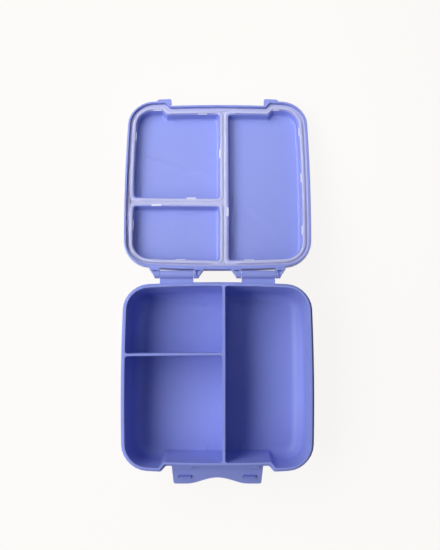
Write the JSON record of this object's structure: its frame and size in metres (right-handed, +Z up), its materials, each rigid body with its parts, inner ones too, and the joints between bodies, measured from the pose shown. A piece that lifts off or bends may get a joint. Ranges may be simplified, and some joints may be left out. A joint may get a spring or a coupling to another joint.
{
  "type": "lunch box",
  "caption": "Moulded lunch box with a divided tray, a lid with a silicone seal on two rear hinges, and a wide front clip.",
  "frame": {"origin": "centre of the tray's flat underside", "axes": "+Z up, +Y towards the hinges and the opened lid, +X to the right as seen from the clip side"},
  "size_m": [0.1762, 0.3672, 0.0502],
  "materials": {
    "polypropylene": "satin",
    "silicone": "matte",
    "pin_steel": "satin"
  },
  "bodies": {
    "tray": {"tray": "polypropylene", "clip_pin_left": "pin_steel", "clip_pin_right": "pin_steel"},
    "lid": {"lid": "polypropylene", "lid_seal": "silicone", "hinge_pin_left": "pin_steel", "hinge_pin_right": "pin_steel"},
    "clip": {"clip": "polypropylene"}
  },
  "joints": [
    {"name": "lid_hinge", "type": "hinge", "parent": "tray", "child": "lid", "pos_m": [0, 0.09275, 0.0465], "axis": [1, 0, 0], "range_deg": [0, 190.65]},
    {"name": "clip_hinge", "type": "hinge", "parent": "tray", "child": "clip", "pos_m": [0, -0.08005, 0.0423], "axis": [-1, 0, 0], "range_deg": [0, 112]}
  ]
}
